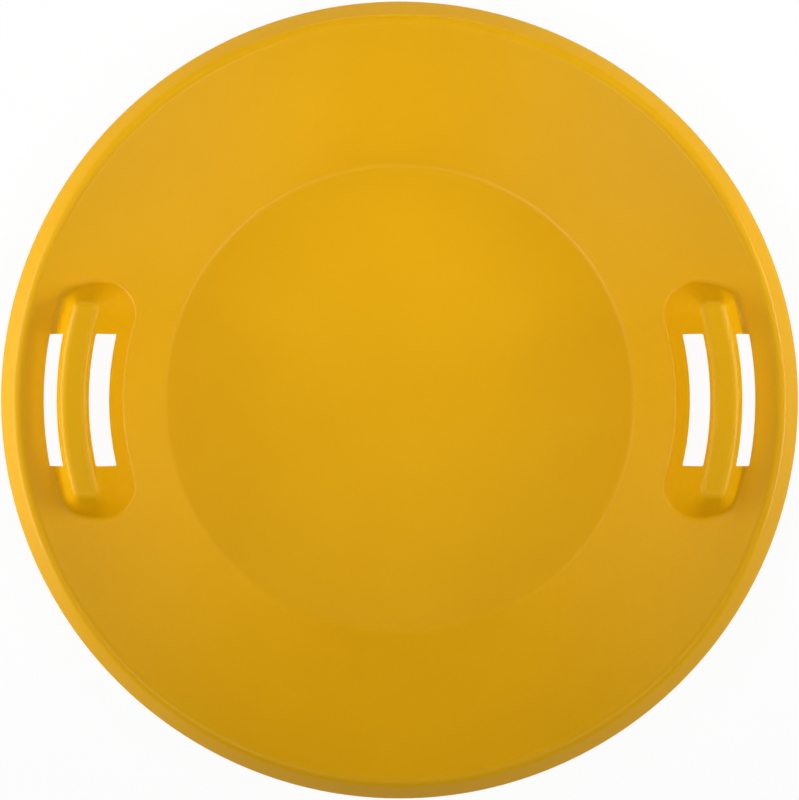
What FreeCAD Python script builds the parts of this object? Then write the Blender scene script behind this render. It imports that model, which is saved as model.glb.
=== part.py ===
import FreeCAD, Part

import math
import os

import Sketcher
from FreeCAD import Placement, Rotation, Vector

# A round saucer sled, moulded in one piece of plastic: a flat seat, a flared wall, a rolled rim
# and two hollow handles raised out of the wall. +Z is up, the handles lie on the X axis, and the
# origin is the middle of the seat's underside, on the snow.

# Driving sizes in millimetres and degrees.
sizes = {
    "sled_radius": 317.5,
    "wall": 3.0,
    # Rim: the crest line is its highest circle, and the lip turns down from there to the edge.
    "rim_height": 58.0,
    "lip_reach": 16.0,
    "lip_angle": 50.0,
    "crest_round": 8.0,
    # Flared wall, from the crest line in to the flat seat.
    "flare_width": 115.7,
    "crease_round": 12.0,
    # Part of the wall's circle that carries one handle.
    "handle_sector": 58.0,
    # Flat top of the grip: out from the middle of the flared wall, and up from the crest line.
    "grip_offset": 14.45,
    "grip_rise": 16.0,
    "grip_width": 17.6,
    "grip_length": 153.4,
    "grip_corner": 5.0,
    "grip_edge_round": 4.0,
    # Hollow hump under the grip: its flanks lean by the draft, and its foot blends into the wall.
    "flank_draft": 26.7,
    "foot_round": 5.0,
    "hollow_round": 1.0,
    # Finger windows on both sides of the bar, and the strips of flank that stay on the bar.
    "window_length": 105.0,
    "window_corner": 1.0,
    "seat_window_width": 14.4,
    "rim_window_width": 11.5,
    "seat_overhang": 3.2,
    "rim_overhang": 4.6,
    # How far every cut runs past the solid.
    "overrun": 5.0,
}

# Sizes that follow from the driving ones.
worked_sizes = {
    "crest_radius": "dims.sled_radius - dims.lip_reach",
    "crest_level": "dims.rim_height - dims.crest_round",
    "crest_inside": "dims.crest_round - dims.wall",
    "seat_radius": "worked.crest_radius - dims.flare_width",
    "crease_level": "dims.wall + dims.crease_round",
    "crease_outside": "dims.crease_round + dims.wall",
    "lip_half": "dims.wall / 2",
    "grip_radius": "worked.crest_radius - dims.flare_width / 2 + dims.grip_offset",
    "grip_height": "dims.rim_height + dims.grip_rise",
    "grip_near": "worked.grip_radius - dims.grip_width / 2",
    "grip_far": "worked.grip_radius + dims.grip_width / 2",
    "bar_near": "worked.grip_near - dims.seat_overhang",
    "bar_far": "worked.grip_far + dims.rim_overhang",
    "hollow_inset": "dims.wall * tan(45 - dims.flank_draft / 2)",
}
# The flared wall is the straight line that touches both roundings, so its slope follows from them.
worked_angles = {
    "flare": "atan2(worked.crest_level - worked.crease_level; dims.flare_width)"
             " + asin((dims.crest_round + dims.crease_round)"
             " / hypot(worked.crest_level - worked.crease_level; dims.flare_width))",
}


def make_sizes(doc):
    sheet = doc.addObject("Spreadsheet::Sheet", "dims")
    for row, (name, size) in enumerate(sizes.items(), 1):
        sheet.set(f"A{row}", name)
        sheet.set(f"B{row}", str(size))
        sheet.setAlias(f"B{row}", name)
    doc.recompute()
    worked = doc.addObject("App::VarSet", "worked")
    for kind, table in (("App::PropertyFloat", worked_sizes), ("App::PropertyAngle", worked_angles)):
        for name, expression in table.items():
            worked.addProperty(kind, name)
            worked.setExpression(name, expression)
    doc.recompute()


def measure(doc, expression):
    found = doc.dims.evalExpression(expression)
    return getattr(found, "Value", found)


def add_sketch(body, name, role, level=None):
    sketch = body.newObject("Sketcher::SketchObject", name)
    plane = next(feature for feature in body.Origin.OriginFeatures if feature.Role == role)
    sketch.AttachmentSupport = (plane, "")
    sketch.MapMode = "FlatFace"
    if level:
        sketch.setExpression("AttachmentOffset.Base.z", level)
    return sketch


def pin(sketch, geometry, end, axis, expression):
    """Ties one coordinate of a sketch point to an expression, or puts the point on the axis."""
    if expression == "0":
        crossed_axis = {"X": -2, "Y": -1}[axis]
        sketch.addConstraint(Sketcher.Constraint("PointOnObject", geometry, end, crossed_axis))
        return
    place = getattr(sketch.getPoint(geometry, end), axis.lower())
    index = sketch.addConstraint(Sketcher.Constraint("Distance" + axis, -1, 1, geometry, end, place))
    sketch.setExpression(f"Constraints[{index}]", expression)


def draw(sketch, corners, rounds):
    """Draws a closed outline through corners, each a pair of expressions.

    rounds gives the centre and the radius of each side that is an arc, by the number of the
    corner where that side starts.
    """
    doc = sketch.Document
    spots = [Vector(measure(doc, across), measure(doc, along), 0) for across, along in corners]
    starts = []
    ends = []
    for number, spot in enumerate(spots):
        follower = spots[(number + 1) % len(spots)]
        if number not in rounds:
            geometry = sketch.addGeometry(Part.LineSegment(spot, follower), False)
            starts.append((geometry, 1))
            ends.append((geometry, 2))
            continue
        (across, along), radius = rounds[number]
        centre = Vector(measure(doc, across), measure(doc, along), 0)
        leave = spot - centre
        arrive = follower - centre
        angles = [math.atan2(leave.y, leave.x), math.atan2(arrive.y, arrive.x)]
        forward = leave.cross(arrive).z > 0
        if not forward:
            angles.reverse()
        circle = Part.Circle(centre, Vector(0, 0, 1), leave.Length)
        geometry = sketch.addGeometry(Part.ArcOfCircle(circle, *angles), False)
        starts.append((geometry, 1 if forward else 2))
        ends.append((geometry, 2 if forward else 1))
        index = sketch.addConstraint(Sketcher.Constraint("Radius", geometry, leave.Length))
        sketch.setExpression(f"Constraints[{index}]", radius)
    for number, (across, along) in enumerate(corners):
        sketch.addConstraint(Sketcher.Constraint("Coincident", *ends[number - 1], *starts[number]))
        pin(sketch, *starts[number], "X", across)
        pin(sketch, *starts[number], "Y", along)


def polar(centre, radius, turn):
    """Point at a radius from a centre, turned from straight up towards the rim."""
    across, along = centre
    return f"{across} + ({radius}) * sin({turn})", f"{along} + ({radius}) * cos({turn})"


# Centres of the two roundings, and where the straight wall leaves them.
crease = ("worked.seat_radius", "worked.crease_level")
crest = ("worked.crest_radius", "worked.crest_level")
crease_turn = "180 deg - worked.flare"
crest_turn = "-worked.flare"
wall_near = "worked.seat_radius + worked.crease_outside * sin(worked.flare)"
wall_far = "worked.crest_radius - dims.crest_round * sin(worked.flare)"
# Heights of the wall's two faces, drawn on inwards to the edge of the flat seat.
upper_start = "worked.crease_level - dims.crease_round / cos(worked.flare)"
lower_start = "worked.crease_level - worked.crease_outside / cos(worked.flare)"
# Two points closer than this are the same point.
same = 0.001


def sector(near, far, length, corner):
    """Outline of a curved strip between two radii about the origin, with straight rounded ends."""
    half = f"({length}) / 2"
    level = f"({half} - ({corner}))"
    near_hub = f"(({near}) + ({corner}))"
    far_hub = f"(({far}) - ({corner}))"
    near_middle = f"sqrt({near_hub}^2 - {level}^2)"
    far_middle = f"sqrt({far_hub}^2 - {level}^2)"
    near_x = f"({near}) / {near_hub} * {near_middle}"
    near_y = f"({near}) / {near_hub} * {level}"
    far_x = f"({far}) / {far_hub} * {far_middle}"
    far_y = f"({far}) / {far_hub} * {level}"
    corners = [
        (far_x, f"-{far_y}"),
        (far_x, far_y),
        (far_middle, half),
        (near_middle, half),
        (near_x, near_y),
        (near_x, f"-{near_y}"),
        (near_middle, f"-{half}"),
        (far_middle, f"-{half}"),
    ]
    rounds = {
        0: (("0", "0"), far),
        1: ((far_middle, level), corner),
        3: ((near_middle, level), corner),
        4: (("0", "0"), near),
        5: ((near_middle, f"-{level}"), corner),
        7: ((far_middle, f"-{level}"), corner),
    }
    return corners, rounds


def wall_section(thickness):
    """Slanted strip between the two roundings, measured down from the wall's upper face."""
    corners = [
        polar(crease, "dims.crease_round", crease_turn),
        polar(crest, "dims.crest_round", crest_turn),
        polar(crest, f"dims.crest_round - ({thickness})", crest_turn),
        polar(crease, f"dims.crease_round + ({thickness})", crease_turn),
    ]
    return corners, {}


def revolve(body, kind, name, outline, angle=None):
    sketch = add_sketch(body, f"{name}_section", "XZ_Plane")
    draw(sketch, *outline)
    turned = body.newObject(kind, name)
    turned.Profile = sketch
    turned.ReferenceAxis = (sketch, ["V_Axis"])
    turned.Angle = 360
    if angle:
        turned.Midplane = True
        turned.setExpression("Angle", angle)


def make_seat_floor(doc):
    body = doc.addObject("PartDesign::Body", "seat_floor")
    corners = [
        ("0", "0"),
        ("worked.seat_radius", "0"),
        polar(crease, "worked.crease_outside", crease_turn),
        polar(crease, "dims.crease_round", crease_turn),
        ("worked.seat_radius", "dims.wall"),
        ("0", "dims.wall"),
    ]
    rounds = {1: (crease, "worked.crease_outside"), 3: (crease, "dims.crease_round")}
    revolve(body, "PartDesign::Revolution", "seat", (corners, rounds))
    return body


def make_wall(doc, name, facing):
    body = doc.addObject("PartDesign::Body", name)
    revolve(body, "PartDesign::Revolution", "flare", wall_section("dims.wall"), "180 - dims.handle_sector")
    body.Placement = Placement(Vector(), Rotation(Vector(0, 0, 1), facing))
    return body


def make_rim(doc):
    body = doc.addObject("PartDesign::Body", "rolled_rim")
    lip_radius = "(dims.crest_round - worked.lip_half)"
    lip_length = (f"(dims.lip_reach - worked.lip_half - {lip_radius} * sin(dims.lip_angle))"
                  " / cos(dims.lip_angle)")
    tip = ("dims.sled_radius - worked.lip_half",
           f"worked.crest_level + {lip_radius} * cos(dims.lip_angle) - {lip_length} * sin(dims.lip_angle)")
    corners = [
        polar(crest, "worked.crest_inside", crest_turn),
        polar(crest, "dims.crest_round", crest_turn),
        polar(crest, "dims.crest_round", "dims.lip_angle"),
        polar(tip, "worked.lip_half", "dims.lip_angle"),
        polar(tip, "worked.lip_half", "dims.lip_angle + 90"),
        polar(tip, "worked.lip_half", "dims.lip_angle + 180"),
        polar(crest, "worked.crest_inside", "dims.lip_angle"),
    ]
    rounds = {
        1: (crest, "dims.crest_round"),
        3: (tip, "worked.lip_half"),
        4: (tip, "worked.lip_half"),
        6: (crest, "worked.crest_inside"),
    }
    revolve(body, "PartDesign::Revolution", "rim", (corners, rounds))
    return body


def cut_down(body, name, level, outline, draft=None):
    """Cuts an outline from a level down past the snow, wider by the draft as it goes."""
    sketch = add_sketch(body, f"{name}_outline", "XY_Plane", level)
    draw(sketch, *outline)
    cut = body.newObject("PartDesign::Pocket", name)
    cut.Profile = sketch
    cut.setExpression("Length", f"{level} + dims.overrun")
    if draft:
        cut.setExpression("TaperAngle", draft)


def middle(edge):
    return edge.valueAt((edge.FirstParameter + edge.LastParameter) / 2)


def on_wall_face(doc, start):
    """Picks the edges that the hump makes on a face of the wall, away from the wall's own borders."""
    slope = math.tan(math.radians(measure(doc, "worked.flare")))
    seat_radius = measure(doc, "worked.seat_radius")
    level = measure(doc, start)
    nearest = measure(doc, f"{wall_near} + dims.wall")
    farthest = measure(doc, f"{wall_far} - dims.wall")
    half_sector = math.radians(measure(doc, "dims.handle_sector")) / 2

    def chosen(edge):
        spot = middle(edge)
        radius = math.hypot(spot.x, spot.y)
        turn = abs(math.atan2(spot.y, spot.x))
        height = level + (radius - seat_radius) * slope
        inside = nearest < radius < farthest and turn < half_sector - same
        return inside and abs(spot.z - height) < same

    return chosen


def at_level(doc, level):
    """Picks the edges that lie flat at a height."""
    height = measure(doc, level)

    def chosen(edge):
        spots = [vertex.Point for vertex in edge.Vertexes] + [middle(edge)]
        return all(abs(spot.z - height) < same for spot in spots)

    return chosen


def round_edges(body, name, chosen, radius):
    base = body.Tip
    edges = [f"Edge{number}" for number, edge in enumerate(base.Shape.Edges, 1) if chosen(edge)]
    rounding = body.newObject("PartDesign::Fillet", name)
    rounding.Base = (base, edges)
    rounding.setExpression("Radius", radius)
    body.Document.recompute()


def make_handle(doc, side, facing):
    """Sector of the wall with its hollow hump and both finger windows, still in one piece."""
    body = doc.addObject("PartDesign::Body", f"{side}_handle")
    blank = wall_section("2 * dims.wall")
    revolve(body, "PartDesign::Revolution", "sector", blank, "dims.handle_sector")

    top = add_sketch(body, "hump_outline", "XY_Plane", "worked.grip_height")
    draw(top, *sector("worked.grip_near", "worked.grip_far", "dims.grip_length", "dims.grip_corner"))
    hump = body.newObject("PartDesign::Pad", "hump")
    hump.Profile = top
    hump.Reversed = True
    hump.setExpression("Length", "worked.grip_height")
    hump.setExpression("TaperAngle", "dims.flank_draft")

    # Everything under the wall's lower face goes, and leaves the wall at its own thickness.
    edge = "(dims.sled_radius + dims.overrun)"
    below = [
        ("worked.seat_radius", lower_start),
        (edge, f"{lower_start} + ({edge} - worked.seat_radius) * tan(worked.flare)"),
        (edge, "-dims.overrun"),
        ("worked.seat_radius", "-dims.overrun"),
    ]
    revolve(body, "PartDesign::Groove", "underside", (below, {}), "2 * dims.handle_sector")

    inset = "worked.hollow_inset"
    hollow = sector(f"worked.grip_near + {inset}", f"worked.grip_far - {inset}",
                    f"dims.grip_length - 2 * {inset}", f"dims.grip_corner - {inset}")
    ceiling = "worked.grip_height - dims.wall"
    cut_down(body, "hollow", ceiling, hollow, "dims.flank_draft")
    doc.recompute()
    round_edges(body, "foot", on_wall_face(doc, upper_start), "dims.foot_round")
    round_edges(body, "hollow_foot", on_wall_face(doc, lower_start), "dims.foot_round + dims.wall")
    round_edges(body, "hollow_ceiling", at_level(doc, ceiling), "dims.hollow_round")
    round_edges(body, "grip_edge", at_level(doc, "worked.grip_height"), "dims.grip_edge_round")

    seat_window = ("worked.bar_near - dims.seat_window_width", "worked.bar_near")
    rim_window = ("worked.bar_far", "worked.bar_far + dims.rim_window_width")
    for name, radii in (("seat_window", seat_window), ("rim_window", rim_window)):
        cut_down(body, name, "worked.grip_height", sector(*radii, "dims.window_length", "dims.window_corner"))
    body.Placement = Placement(Vector(), Rotation(Vector(0, 0, 1), facing))
    return body


def make_bar_span(doc, side, facing):
    """Block that runs between the middles of the two windows and holds just the bar."""
    body = doc.addObject("PartDesign::Body", f"{side}_bar_span")
    sketch = add_sketch(body, "span_outline", "XY_Plane")
    draw(sketch, *sector("worked.bar_near - dims.seat_window_width / 2",
                         "worked.bar_far + dims.rim_window_width / 2",
                         "dims.window_length", "dims.window_corner"))
    block = body.newObject("PartDesign::Pad", "span")
    block.Profile = sketch
    block.setExpression("Length", "worked.grip_height + dims.overrun")
    body.Placement = Placement(Vector(), Rotation(Vector(0, 0, 1), facing))
    return body


def split_handle(doc, side, facing):
    """Parts the grip bar from the riser that carries it, at the ends of the windows."""
    handle = make_handle(doc, side, facing)
    span = make_bar_span(doc, side, facing)
    pieces = []
    for kind, name in (("Part::Cut", f"{side}_handle_riser"), ("Part::Common", f"{side}_grip_bar")):
        piece = doc.addObject(kind, name)
        piece.Base = handle
        piece.Tool = span
        pieces.append(piece)
    return pieces


def check(doc, pieces):
    for thing in doc.Objects:
        if "Invalid" in thing.State or "Error" in thing.State:
            raise RuntimeError(f"{thing.Name} could not be worked out")
        if thing.TypeId in ("PartDesign::Pocket", "PartDesign::Groove"):
            if thing.Shape.Volume >= thing.BaseFeature.Shape.Volume:
                raise RuntimeError(f"{thing.Name} cuts nothing")
    for piece in pieces:
        if piece.Shape.isNull() or not piece.Shape.isValid() or len(piece.Shape.Solids) != 1:
            raise RuntimeError(f"{piece.Label} is not one sound solid")


def main():
    doc = FreeCAD.newDocument("saucer_sled")
    make_sizes(doc)
    pieces = [make_seat_floor(doc), make_rim(doc)]
    pieces += [make_wall(doc, "front_wall", -90), make_wall(doc, "rear_wall", 90)]
    pieces += split_handle(doc, "right", 0)
    pieces += split_handle(doc, "left", 180)
    doc.recompute()
    check(doc, pieces)
    os.makedirs("parts", exist_ok=True)
    for piece in pieces:
        piece.Shape.exportStep(f"parts/{piece.Label}.step")
        print(f"{piece.Label}: {piece.Shape.Volume:.0f} mm3")


main()
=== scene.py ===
import math

import bmesh
import bpy
from mathutils import Matrix, Vector


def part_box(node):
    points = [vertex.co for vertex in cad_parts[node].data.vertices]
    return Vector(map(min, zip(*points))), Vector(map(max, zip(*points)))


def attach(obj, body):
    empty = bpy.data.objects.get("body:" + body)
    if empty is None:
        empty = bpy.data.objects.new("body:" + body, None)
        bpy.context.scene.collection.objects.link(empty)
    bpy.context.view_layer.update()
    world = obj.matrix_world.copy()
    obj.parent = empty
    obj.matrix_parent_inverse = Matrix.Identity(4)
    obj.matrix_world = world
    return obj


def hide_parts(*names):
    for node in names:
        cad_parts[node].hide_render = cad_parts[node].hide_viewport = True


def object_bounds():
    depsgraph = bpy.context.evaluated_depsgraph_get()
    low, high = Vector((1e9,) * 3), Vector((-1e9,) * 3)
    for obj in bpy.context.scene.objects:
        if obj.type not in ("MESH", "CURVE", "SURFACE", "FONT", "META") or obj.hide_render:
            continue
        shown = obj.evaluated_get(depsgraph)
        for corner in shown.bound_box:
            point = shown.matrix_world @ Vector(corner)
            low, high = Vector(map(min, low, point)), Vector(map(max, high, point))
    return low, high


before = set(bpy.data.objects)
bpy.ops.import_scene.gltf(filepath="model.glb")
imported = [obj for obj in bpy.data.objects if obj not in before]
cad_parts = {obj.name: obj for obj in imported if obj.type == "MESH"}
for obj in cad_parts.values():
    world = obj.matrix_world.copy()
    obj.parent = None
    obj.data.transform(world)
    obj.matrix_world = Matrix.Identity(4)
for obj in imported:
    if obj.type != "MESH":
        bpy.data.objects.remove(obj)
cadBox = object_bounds()
scene = bpy.context.scene
print("frame loaded:", ", ".join(sorted(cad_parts)))

mm = 0.001
fullTurn = 360.0  # degrees
mergeGap = 0.001  # mm between points that count as one

# Section of the moulding, the same all the way round: millimetres and degrees.
sled = {
    "wall": 3.0,
    "seatRadius": 185.8,  # the flat seat ends here and the crease begins
    "creaseRound": 12.0,
    "crestRadius": 301.5,  # highest circle of the rim
    "crestRound": 8.0,
    "lipAngle": 50.0,  # how steeply the lip turns down
    "handleSector": 58.0,  # part of the wall's circle that carries one handle
    "turnSteps": 360,
    "arcSteps": 24,
}
# Its reach and heights are the frame's.
sledRadius = cadBox[1].x / mm
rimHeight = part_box("rolled_rim")[1].z / mm
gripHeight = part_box("right_grip_bar")[1].z / mm

wall = sled["wall"]
creaseHub = Vector((sled["seatRadius"], wall + sled["creaseRound"]))
crestHub = Vector((sled["crestRadius"], rimHeight - sled["crestRound"]))
# the flared wall is the straight line that touches both roundings
span = crestHub - creaseHub
flare = math.atan2(span.y, span.x) + math.asin((sled["creaseRound"] + sled["crestRound"]) / span.length)
lip = math.radians(sled["lipAngle"])


def hexColour(text):
    # sRGB hex to linear
    parts = [int(text[place:place + 2], 16) / 255 for place in (1, 3, 5)]
    return [part / 12.92 if part <= 0.04045 else ((part + 0.055) / 1.055) ** 2.4 for part in parts] + [1]


def addNode(tree, kind, settings=None, sockets=None, links=None):
    node = tree.nodes.new(kind)
    for name, value in (settings or {}).items():
        setattr(node, name, value)
    for name, value in (sockets or {}).items():
        node.inputs[name].default_value = value
    for name, output in (links or {}).items():
        tree.links.new(output, node.inputs[name])
    return node


shellFinish = {
    "colour": "#DAA002",
    "thinColour": "#E0A704",  # where the melt packed thinner
    "ior": 1.54,
    "specular": 0.13,
    "roughness": (0.29, 0.35),
    "flowSize": 85.0,  # mm between the clouds that the melt leaves
    "flowDetail": 3.0,
    "peelSize": 2.2,  # mm between the dimples of the gloss
    "peelDetail": 1.0,
    "peelDepth": 0.004,  # mm
}


def mouldedPolyethylene(finish):
    # High-density polyethylene, injection moulded in a polished tool: the pigment goes right through,
    # the gloss is waxy and a little uneven, and the melt leaves soft clouds in the colour.
    material = bpy.data.materials.new("mouldedPolyethylene")
    material.use_nodes = True
    tree = material.node_tree
    tree.nodes.clear()
    place = addNode(tree, "ShaderNodeTexCoord").outputs["Object"]
    flow = addNode(tree, "ShaderNodeTexNoise", links={"Vector": place},
                   sockets={"Scale": 1 / (finish["flowSize"] * mm), "Detail": finish["flowDetail"]})
    # a colour mix has its two colours at sockets 6 and 7, and gives the result at 2
    colour = addNode(tree, "ShaderNodeMix", {"data_type": "RGBA"}, links={0: flow.outputs["Fac"]},
                     sockets={6: hexColour(finish["colour"]), 7: hexColour(finish["thinColour"])})
    low, high = finish["roughness"]
    gloss = addNode(tree, "ShaderNodeMapRange", sockets={"To Min": low, "To Max": high},
                    links={"Value": flow.outputs["Fac"]})
    peel = addNode(tree, "ShaderNodeTexNoise", links={"Vector": place},
                   sockets={"Scale": 1 / (finish["peelSize"] * mm), "Detail": finish["peelDetail"]})
    bump = addNode(tree, "ShaderNodeBump", sockets={"Distance": finish["peelDepth"] * mm},
                   links={"Height": peel.outputs["Fac"]})
    shader = addNode(tree, "ShaderNodeBsdfPrincipled",
                     sockets={"IOR": finish["ior"], "Specular IOR Level": finish["specular"]},
                     links={"Base Color": colour.outputs[2], "Roughness": gloss.outputs["Result"],
                            "Normal": bump.outputs["Normal"]})
    addNode(tree, "ShaderNodeOutputMaterial", links={"Surface": shader.outputs["BSDF"]})
    return material


shellPlastic = mouldedPolyethylene(shellFinish)
print("material ready")

smoothAngle = 35.0  # degrees between faces that still shade as one surface


def makePiece(name, node, bm):
    bmesh.ops.remove_doubles(bm, verts=bm.verts, dist=mergeGap)
    bmesh.ops.recalc_face_normals(bm, faces=bm.faces)
    bmesh.ops.scale(bm, vec=(mm, mm, mm), verts=bm.verts)
    mesh = bpy.data.meshes.new(name)
    bm.to_mesh(mesh)
    bm.free()
    mesh.shade_smooth()
    mesh.set_sharp_from_angle(angle=math.radians(smoothAngle))
    mesh.materials.append(shellPlastic)
    piece = bpy.data.objects.new(name, mesh)
    scene.collection.objects.link(piece)
    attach(piece, "root")
    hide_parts(node)
    print("piece made:", name, len(mesh.polygons), "faces")


def arc(hub, radius, start, end):
    # points on a circle, turned from straight up towards the rim
    turns = [start + (end - start) * step / sled["arcSteps"] for step in range(sled["arcSteps"] + 1)]
    return [hub + radius * Vector((math.sin(turn), math.cos(turn))) for turn in turns]


def spinSection(section, closed=True, facing=0.0, sweep=fullTurn):
    # a section turned about the sled's axis; a part turn is centred on its facing and capped
    bm = bmesh.new()
    verts = [bm.verts.new((radius, 0, height)) for radius, height in section]
    edges = [bm.edges.new(pair) for pair in zip(verts, verts[1:])]
    if closed:
        edges.append(bm.edges.new((verts[-1], verts[0])))
    start = Matrix.Rotation(math.radians(facing - sweep / 2), 3, "Z")
    bmesh.ops.rotate(bm, verts=verts, cent=(0, 0, 0), matrix=start)
    full = sweep == fullTurn
    bmesh.ops.spin(bm, geom=verts + edges, cent=(0, 0, 0), axis=(0, 0, 1), angle=math.radians(sweep),
                   steps=round(sled["turnSteps"] * sweep / fullTurn), use_merge=full)
    if not full:
        bmesh.ops.holes_fill(bm, edges=[edge for edge in bm.edges if edge.is_boundary])
    return bm


upperCrease = arc(creaseHub, sled["creaseRound"], math.pi, math.pi - flare)
lowerCrease = arc(creaseHub, sled["creaseRound"] + wall, math.pi, math.pi - flare)
upperCrest = arc(crestHub, sled["crestRound"], -flare, lip)
lowerCrest = arc(crestHub, sled["crestRound"] - wall, -flare, lip)
# the lip ends in a half round as thick as the wall
lipRadius = sled["crestRound"] - wall / 2
lipTip = crestHub + lipRadius * Vector((math.sin(lip), math.cos(lip)))
lipLength = (sledRadius - wall / 2 - lipTip.x) / math.cos(lip)
lipTip += lipLength * Vector((math.cos(lip), -math.sin(lip)))
lipEdge = arc(lipTip, wall / 2, lip, lip + math.pi)

seatSection = [Vector((0, wall))] + upperCrease + lowerCrease[::-1] + [Vector((0, 0))]
wallSection = [upperCrease[-1], upperCrest[0], lowerCrest[0], lowerCrease[-1]]
rimSection = upperCrest + lipEdge + lowerCrest[::-1]

makePiece("seatFloor", "seat_floor", spinSection(seatSection, closed=False))
makePiece("rolledRim", "rolled_rim", spinSection(rimSection))
wallSweep = fullTurn / 2 - sled["handleSector"]
for name, node, facing in (("frontWall", "front_wall", -90.0), ("rearWall", "rear_wall", 90.0)):
    makePiece(name, node, spinSection(wallSection, facing=facing, sweep=wallSweep))

# Handle: a hollow hump raised out of the wall, with a finger window on each side of its bar.
# Millimetres and degrees again, with the windows as near and far radius.
handle = {
    "gripRadius": 258.1,  # middle line of the grip's flat top
    "gripWidth": 17.6,
    "gripLength": 153.4,
    "gripCorner": 5.0,
    "gripEdgeRound": 7.5,
    "flankDraft": 26.7,
    "footRound": 5.0,
    "hollowRound": 1.0,
    "windowLength": 105.0,
    "windowCorner": 1.0,
    "windowEdgeRound": 0.45,
    "windowEdgeSteps": 3,
    "seatWindow": (231.7, 246.1),
    "rimWindow": (271.5, 283.0),
    "fineCell": 0.45,
    "cell": 1.0,
    "coarseCell": 1.5,
    "endCells": 100,  # cells from a window's end to the end of the handle's sector
}
gripNear = handle["gripRadius"] - handle["gripWidth"] / 2
gripFar = handle["gripRadius"] + handle["gripWidth"] / 2
corner = handle["gripCorner"]
coreEnd = handle["gripLength"] / 2 - corner
coreNear = gripNear + corner
coreFar = gripFar - corner
lean = math.radians(90.0 - handle["flankDraft"])
windows = (handle["seatWindow"], handle["rimWindow"])
windowEnd = handle["windowLength"] / 2
wallNear = upperCrease[-1].x
wallFar = upperCrest[0].x
wallSlope = math.tan(flare)
wallShift = wall * math.sin(flare)  # how far out the wall's lower face starts
hollowInset = wall * math.tan(lean / 2)
halfSector = math.radians(sled["handleSector"] / 2)


def outsideGrip(spot):
    # how far a point lies outside the flat top of the grip, and which way that is
    reach = spot.length
    held = min(max(reach, coreNear), coreFar)
    nearest = spot * (held / reach)
    if abs(nearest.y) > coreEnd:
        endNear = math.sqrt(coreNear ** 2 - coreEnd ** 2)
        endFar = math.sqrt(coreFar ** 2 - coreEnd ** 2)
        nearest = Vector((min(max(spot.x, endNear), endFar), math.copysign(coreEnd, spot.y)))
    away = spot - nearest
    return away.length - corner, away.normalized()


def humpFace(outside, away, top, edgeRound):
    # height and slope of a flat top with a rounded edge and leaning flanks
    start = edgeRound * math.tan(lean / 2)
    if outside <= -start:
        return top, Vector((0, 0))
    if outside >= start * math.cos(lean):
        return top - outside * math.tan(lean), -math.tan(lean) * away
    depth = math.sqrt(edgeRound ** 2 - (outside + start) ** 2)
    return top - edgeRound + depth, -(outside + start) / depth * away


def rollFillet(first, second, radius):
    # the higher of two sloping faces, with a ball of that radius rolled along their corner
    heightA, slopeA = first
    heightB, slopeB = second
    upA = 1 / math.sqrt(1 + slopeA.length_squared)
    upB = 1 / math.sqrt(1 + slopeB.length_squared)
    turn = (1 + slopeA.dot(slopeB)) * upA * upB
    farA = upA * heightA + radius
    farB = upB * heightB + radius
    square = upA ** 2 + upB ** 2 - 2 * turn * upA * upB
    half = upA * farA + upB * farB - turn * (upA * farB + upB * farA)
    rest = farA ** 2 + farB ** 2 - 2 * turn * farA * farB - radius ** 2 * (1 - turn ** 2)
    room = half ** 2 - square * rest
    if square > 0 and room > 0:
        height = (half - math.sqrt(room)) / square
        offA = upA * height - farA
        offB = upB * height - farB
        if offA < turn * offB and offB < turn * offA:
            return height
    return max(heightA, heightB)


def wallFace(spot, thickness):
    start = creaseHub.y - (sled["creaseRound"] + thickness) / math.cos(flare)
    return start + (spot.length - creaseHub.x) * wallSlope, wallSlope * spot.normalized()


def upperHeight(spot):
    outside, away = outsideGrip(spot)
    hump = humpFace(outside, away, gripHeight, handle["gripEdgeRound"])
    return rollFillet(wallFace(spot, 0), hump, handle["footRound"])


def lowerHeight(spot):
    outside, away = outsideGrip(spot)
    hollow = humpFace(outside + hollowInset, away, gripHeight - wall, handle["hollowRound"])
    return rollFillet(wallFace(spot, wall), hollow, handle["footRound"] + wall)


def ladder(stops, cells):
    # even steps of about one cell between stops, so that a grid line runs along each stop
    marks = stops[:1]
    for start, end, cell in zip(stops, stops[1:], cells):
        count = max(1, round((end - start) / cell))
        marks += [start + (end - start) * (step + 1) / count for step in range(count)]
    return marks


def inWindow(reach, side, slack):
    return any(near - slack < reach < far + slack for near, far in windows) and side < windowEnd + slack


def roundWindowCorner(reach, side):
    # pulls a point in the corner of a window on to the corner's circle
    radius = handle["windowCorner"]
    for near, far in windows:
        if near - mergeGap < reach < far + mergeGap and side < windowEnd + mergeGap:
            hub = Vector((min(max(reach, near + radius), far - radius), min(side, windowEnd - radius)))
            offset = Vector((reach, side)) - hub
            if offset.length > radius:
                offset *= radius / offset.length
            return hub + offset
    return Vector((reach, side))


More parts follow.
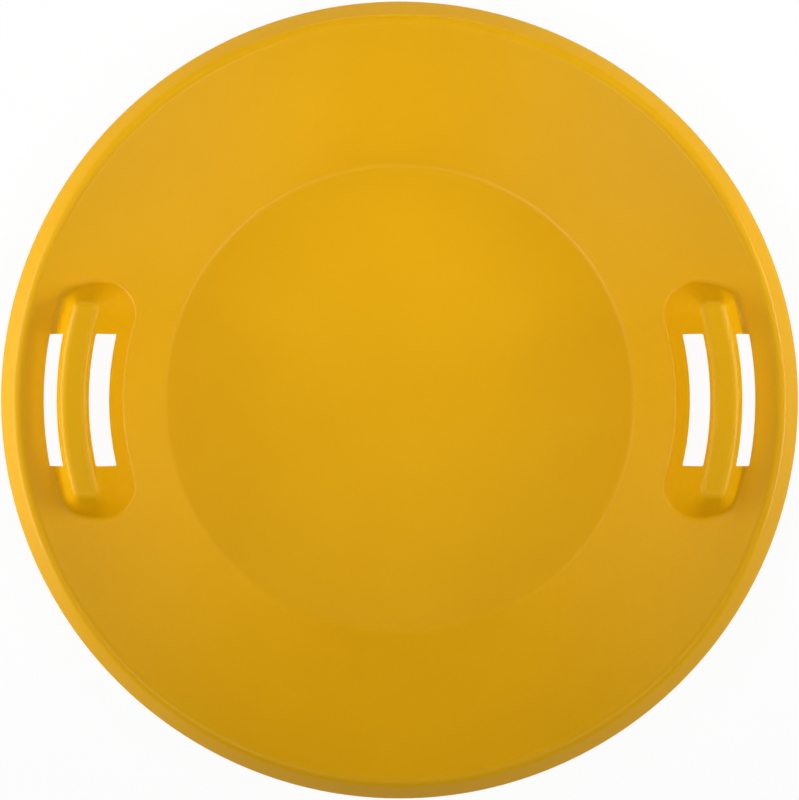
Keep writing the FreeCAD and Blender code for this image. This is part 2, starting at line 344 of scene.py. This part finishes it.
def handleGrid():
    # a flat grid bent to the handle's sector: rows at one radius, columns square across the windows
    fine, cell, coarse = handle["fineCell"], handle["cell"], handle["coarseCell"]
    bend = handle["windowCorner"]
    (seatNear, seatFar), (rimNear, rimFar) = windows
    footDrop = (gripHeight - wallFace(Vector((gripNear, 0)), 0)[0]) * math.tan(math.pi / 2 - lean)
    foot = gripNear - footDrop / (1 - wallSlope / math.tan(lean))
    rows = ladder(
        [wallNear, foot - handle["footRound"], foot + handle["footRound"] / 2, seatNear, seatNear + bend,
         seatFar - bend, seatFar, gripNear + handle["gripEdgeRound"], gripFar - handle["gripEdgeRound"],
         rimNear, rimNear + bend, rimFar - bend, rimFar, wallFar],
        [coarse, fine, cell, fine, cell, fine, fine, cell, fine, fine, cell, fine, cell])
    half = ladder([0.0, windowEnd - bend, windowEnd], [cell, fine])
    half += [windowEnd * (1 + (step + 1) / handle["endCells"]) for step in range(handle["endCells"])]
    columns = [-mark for mark in half[:0:-1]] + half
    bm = bmesh.new()
    bmesh.ops.create_grid(bm, x_segments=len(rows) - 1, y_segments=len(columns) - 1, size=0.5)
    for vert in bm.verts:
        reach = rows[round((vert.co.x + 0.5) * (len(rows) - 1))]
        mark = columns[round((vert.co.y + 0.5) * (len(columns) - 1))]
        side = abs(mark)
        if side > windowEnd:
            side = windowEnd + (side / windowEnd - 1) * (reach * math.sin(halfSector) - windowEnd)
        reach, side = roundWindowCorner(reach, side)
        vert.co = (math.sqrt(reach ** 2 - side ** 2), math.copysign(side, mark), 0)
    return bm


def makeHandlePiece(name, node, turned, wanted):
    bm = handleGrid()
    spare = [face for face in bm.faces if not wanted(face.calc_center_median())]
    bmesh.ops.delete(bm, geom=spare, context="FACES")
    rim = bm.verts.layers.int.new("windowRim")
    for vert in bm.verts:
        vert[rim] = inWindow(vert.co.xy.length, abs(vert.co.y), mergeGap)
    upper = bm.verts[:]
    grown = bmesh.ops.extrude_face_region(bm, geom=bm.faces[:], use_keep_orig=True)["geom"]
    for vert in upper:
        vert.co.z = upperHeight(vert.co.xy)
    for vert in [item for item in grown if isinstance(item, bmesh.types.BMVert)]:
        spot = vert.co.xy
        inset = min(spot.length - wallNear, wallFar - spot.length)
        spot *= 1 + wallShift * max(0, 1 - inset / handle["footRound"]) / spot.length
        vert.co = (spot.x, spot.y, lowerHeight(spot))
    bmesh.ops.recalc_face_normals(bm, faces=bm.faces)
    sharp = math.radians(smoothAngle)
    # the windows' edges along the upper and lower face, not those through the wall
    edges = [edge for edge in bm.edges if edge.verts[0][rim] and edge.verts[1][rim]
             and (edge.verts[0].co.xy - edge.verts[1].co.xy).length > mergeGap
             and edge.calc_face_angle(0) > sharp]
    bmesh.ops.bevel(bm, geom=edges, offset=handle["windowEdgeRound"], offset_type="OFFSET",
                    segments=handle["windowEdgeSteps"], affect="EDGES", profile=0.5, material=-1,
                    clamp_overlap=True)
    bmesh.ops.rotate(bm, verts=bm.verts, cent=(0, 0, 0), matrix=Matrix.Rotation(turned, 3, "Z"))
    makePiece(name, node, bm)


def onBar(centre):
    return windows[0][1] < centre.xy.length < windows[1][0] and abs(centre.y) < windowEnd


def onRiser(centre):
    return not onBar(centre) and not inWindow(centre.xy.length, abs(centre.y), 0)


for side, turned in (("right", 0.0), ("left", math.pi)):
    makeHandlePiece(side + "HandleRiser", side + "_handle_riser", turned, onRiser)
    makeHandlePiece(side + "GripBar", side + "_grip_bar", turned, onBar)

# Studio: white paper under the sled, low soft boxes round it and gridded ones above. Metres and watts.
studio = {
    "paper": "#FFFFFF",
    "paperGlow": 0.94,  # share of the paper's white that shadow can't take
    "paperSize": 12.0,
    "paperDrop": 0.0003,  # keeps the paper clear of the sled's underside
    "worldColour": "#FFFFFF",
    "worldStrength": 0.22,
}


def whitePaper():
    # Seamless paper, matt and bleached: it shows as white and keeps a pale shadow.
    material = bpy.data.materials.new("seamlessPaper")
    material.use_nodes = True
    tree = material.node_tree
    tree.nodes.clear()
    white = hexColour(studio["paper"])
    matt = addNode(tree, "ShaderNodeBsdfDiffuse", sockets={"Color": white})
    glow = addNode(tree, "ShaderNodeEmission", sockets={"Color": white, "Strength": 1.0})
    seen = addNode(tree, "ShaderNodeMixShader", sockets={"Fac": studio["paperGlow"]},
                   links={1: matt.outputs["BSDF"], 2: glow.outputs["Emission"]})
    rays = addNode(tree, "ShaderNodeLightPath")
    direct = addNode(tree, "ShaderNodeMath", {"operation": "MAXIMUM"},
                     links={0: rays.outputs["Is Camera Ray"], 1: rays.outputs["Is Glossy Ray"]})
    direct = addNode(tree, "ShaderNodeMath", {"operation": "MAXIMUM"},
                     links={0: direct.outputs["Value"], 1: rays.outputs["Is Transmission Ray"]})
    mixed = addNode(tree, "ShaderNodeMixShader",
                    links={0: direct.outputs["Value"], 1: matt.outputs["BSDF"], 2: seen.outputs["Shader"]})
    addNode(tree, "ShaderNodeOutputMaterial", links={"Surface": mixed.outputs["Shader"]})
    return material


def makeFloor():
    bm = bmesh.new()
    bmesh.ops.create_grid(bm, x_segments=1, y_segments=1, size=studio["paperSize"])
    bmesh.ops.translate(bm, vec=(0, 0, -studio["paperDrop"]), verts=bm.verts)
    mesh = bpy.data.meshes.new("paperFloor")
    bm.to_mesh(mesh)
    bm.free()
    mesh.materials.append(whitePaper())
    floor = bpy.data.objects.new("paperFloor", mesh)
    scene.collection.objects.link(floor)


def makeWorld():
    world = bpy.data.worlds.new("studio")
    world.use_nodes = True
    tree = world.node_tree
    tree.nodes.clear()
    dome = addNode(tree, "ShaderNodeBackground", sockets={
        "Color": hexColour(studio["worldColour"]), "Strength": studio["worldStrength"]})
    addNode(tree, "ShaderNodeOutputWorld", links={"Surface": dome.outputs["Background"]})
    scene.world = world


# Low soft boxes for the rim and the handles. Each has a place, an aim, a width and height and watts.
softBoxes = {
    "stripLeft": {"place": (-0.8, -0.05, 0.06), "aim": (0, 0, 0.05), "size": (0.7, 0.08), "power": 1.2},
    "lowLeft": {"place": (-0.85, -0.15, 0.2), "aim": (0, 0, 0.05), "size": (0.5, 0.14), "power": 1.6},
    "lowRight": {"place": (1.25, -0.15, 0.26), "aim": (0, 0, 0.05), "size": (0.5, 0.16), "power": 4.3},
    "lowRear": {"place": (0, 0.95, 0.25), "aim": (0, 0, 0.05), "size": (0.8, 0.2), "power": 1.3},
}
# Gridded ones for the bowl: their narrow beams leave its front edge darker.
gridBoxes = {
    "rearLeft": {"place": (-0.74, 0.5, 1.4), "aim": (0.12, 0.12, 0), "size": (0.9, 0.5), "power": 0.34},
    "rearRight": {"place": (0.74, 0.5, 1.4), "aim": (-0.12, 0.12, 0), "size": (0.9, 0.5), "power": 0.3},
    "frontLeft": {"place": (-0.55, -0.6, 1.5), "aim": (0.12, 0.1, 0), "size": (0.7, 0.5), "power": 0.62},
    "frontRight": {"place": (0.55, -0.6, 1.5), "aim": (-0.12, 0.1, 0), "size": (0.7, 0.5), "power": 0.51},
    "sideLeft": {"place": (-1.03, 0.35, 0.35), "aim": (0, 0.22, 0.03), "size": (0.4, 0.3), "power": 0.28},
    "sideRight": {"place": (1.03, 0.35, 0.35), "aim": (0, 0.22, 0.03), "size": (0.4, 0.3), "power": 0.36},
}
openSpread = 180.0  # degrees that a lamp's beam opens
gridSpread = 45.0


def makeSoftBox(name, box, spread):
    lamp = bpy.data.lights.new(name, "AREA")
    lamp.shape = "RECTANGLE"
    lamp.size, lamp.size_y = box["size"]
    lamp.spread = math.radians(spread)
    lamp.energy = box["power"]
    holder = bpy.data.objects.new(name, lamp)
    place = Vector(box["place"])
    holder.location = place
    holder.rotation_euler = (Vector(box["aim"]) - place).to_track_quat("-Z", "Y").to_euler()
    scene.collection.objects.link(holder)


makeFloor()
makeWorld()
for boxes, spread in ((softBoxes, openSpread), (gridBoxes, gridSpread)):
    for name, box in boxes.items():
        makeSoftBox(name, box, spread)
print("studio ready")

# Camera straight above the middle, with the rim just inside the frame's height.
view = {"distance": 3.5, "frameHeight": 0.6374, "sensor": 36.0}
camera = bpy.data.cameras.new("camera")
camera.sensor_width = view["sensor"]
camera.lens = view["sensor"] * view["distance"] / view["frameHeight"]
cameraHolder = bpy.data.objects.new("camera", camera)
cameraHolder.location = (0, 0, lipTip.y * mm + view["distance"])  # the distance counts from the lip
scene.collection.objects.link(cameraHolder)
scene.camera = cameraHolder
scene.view_settings.view_transform = "Standard"

print("scene ready")
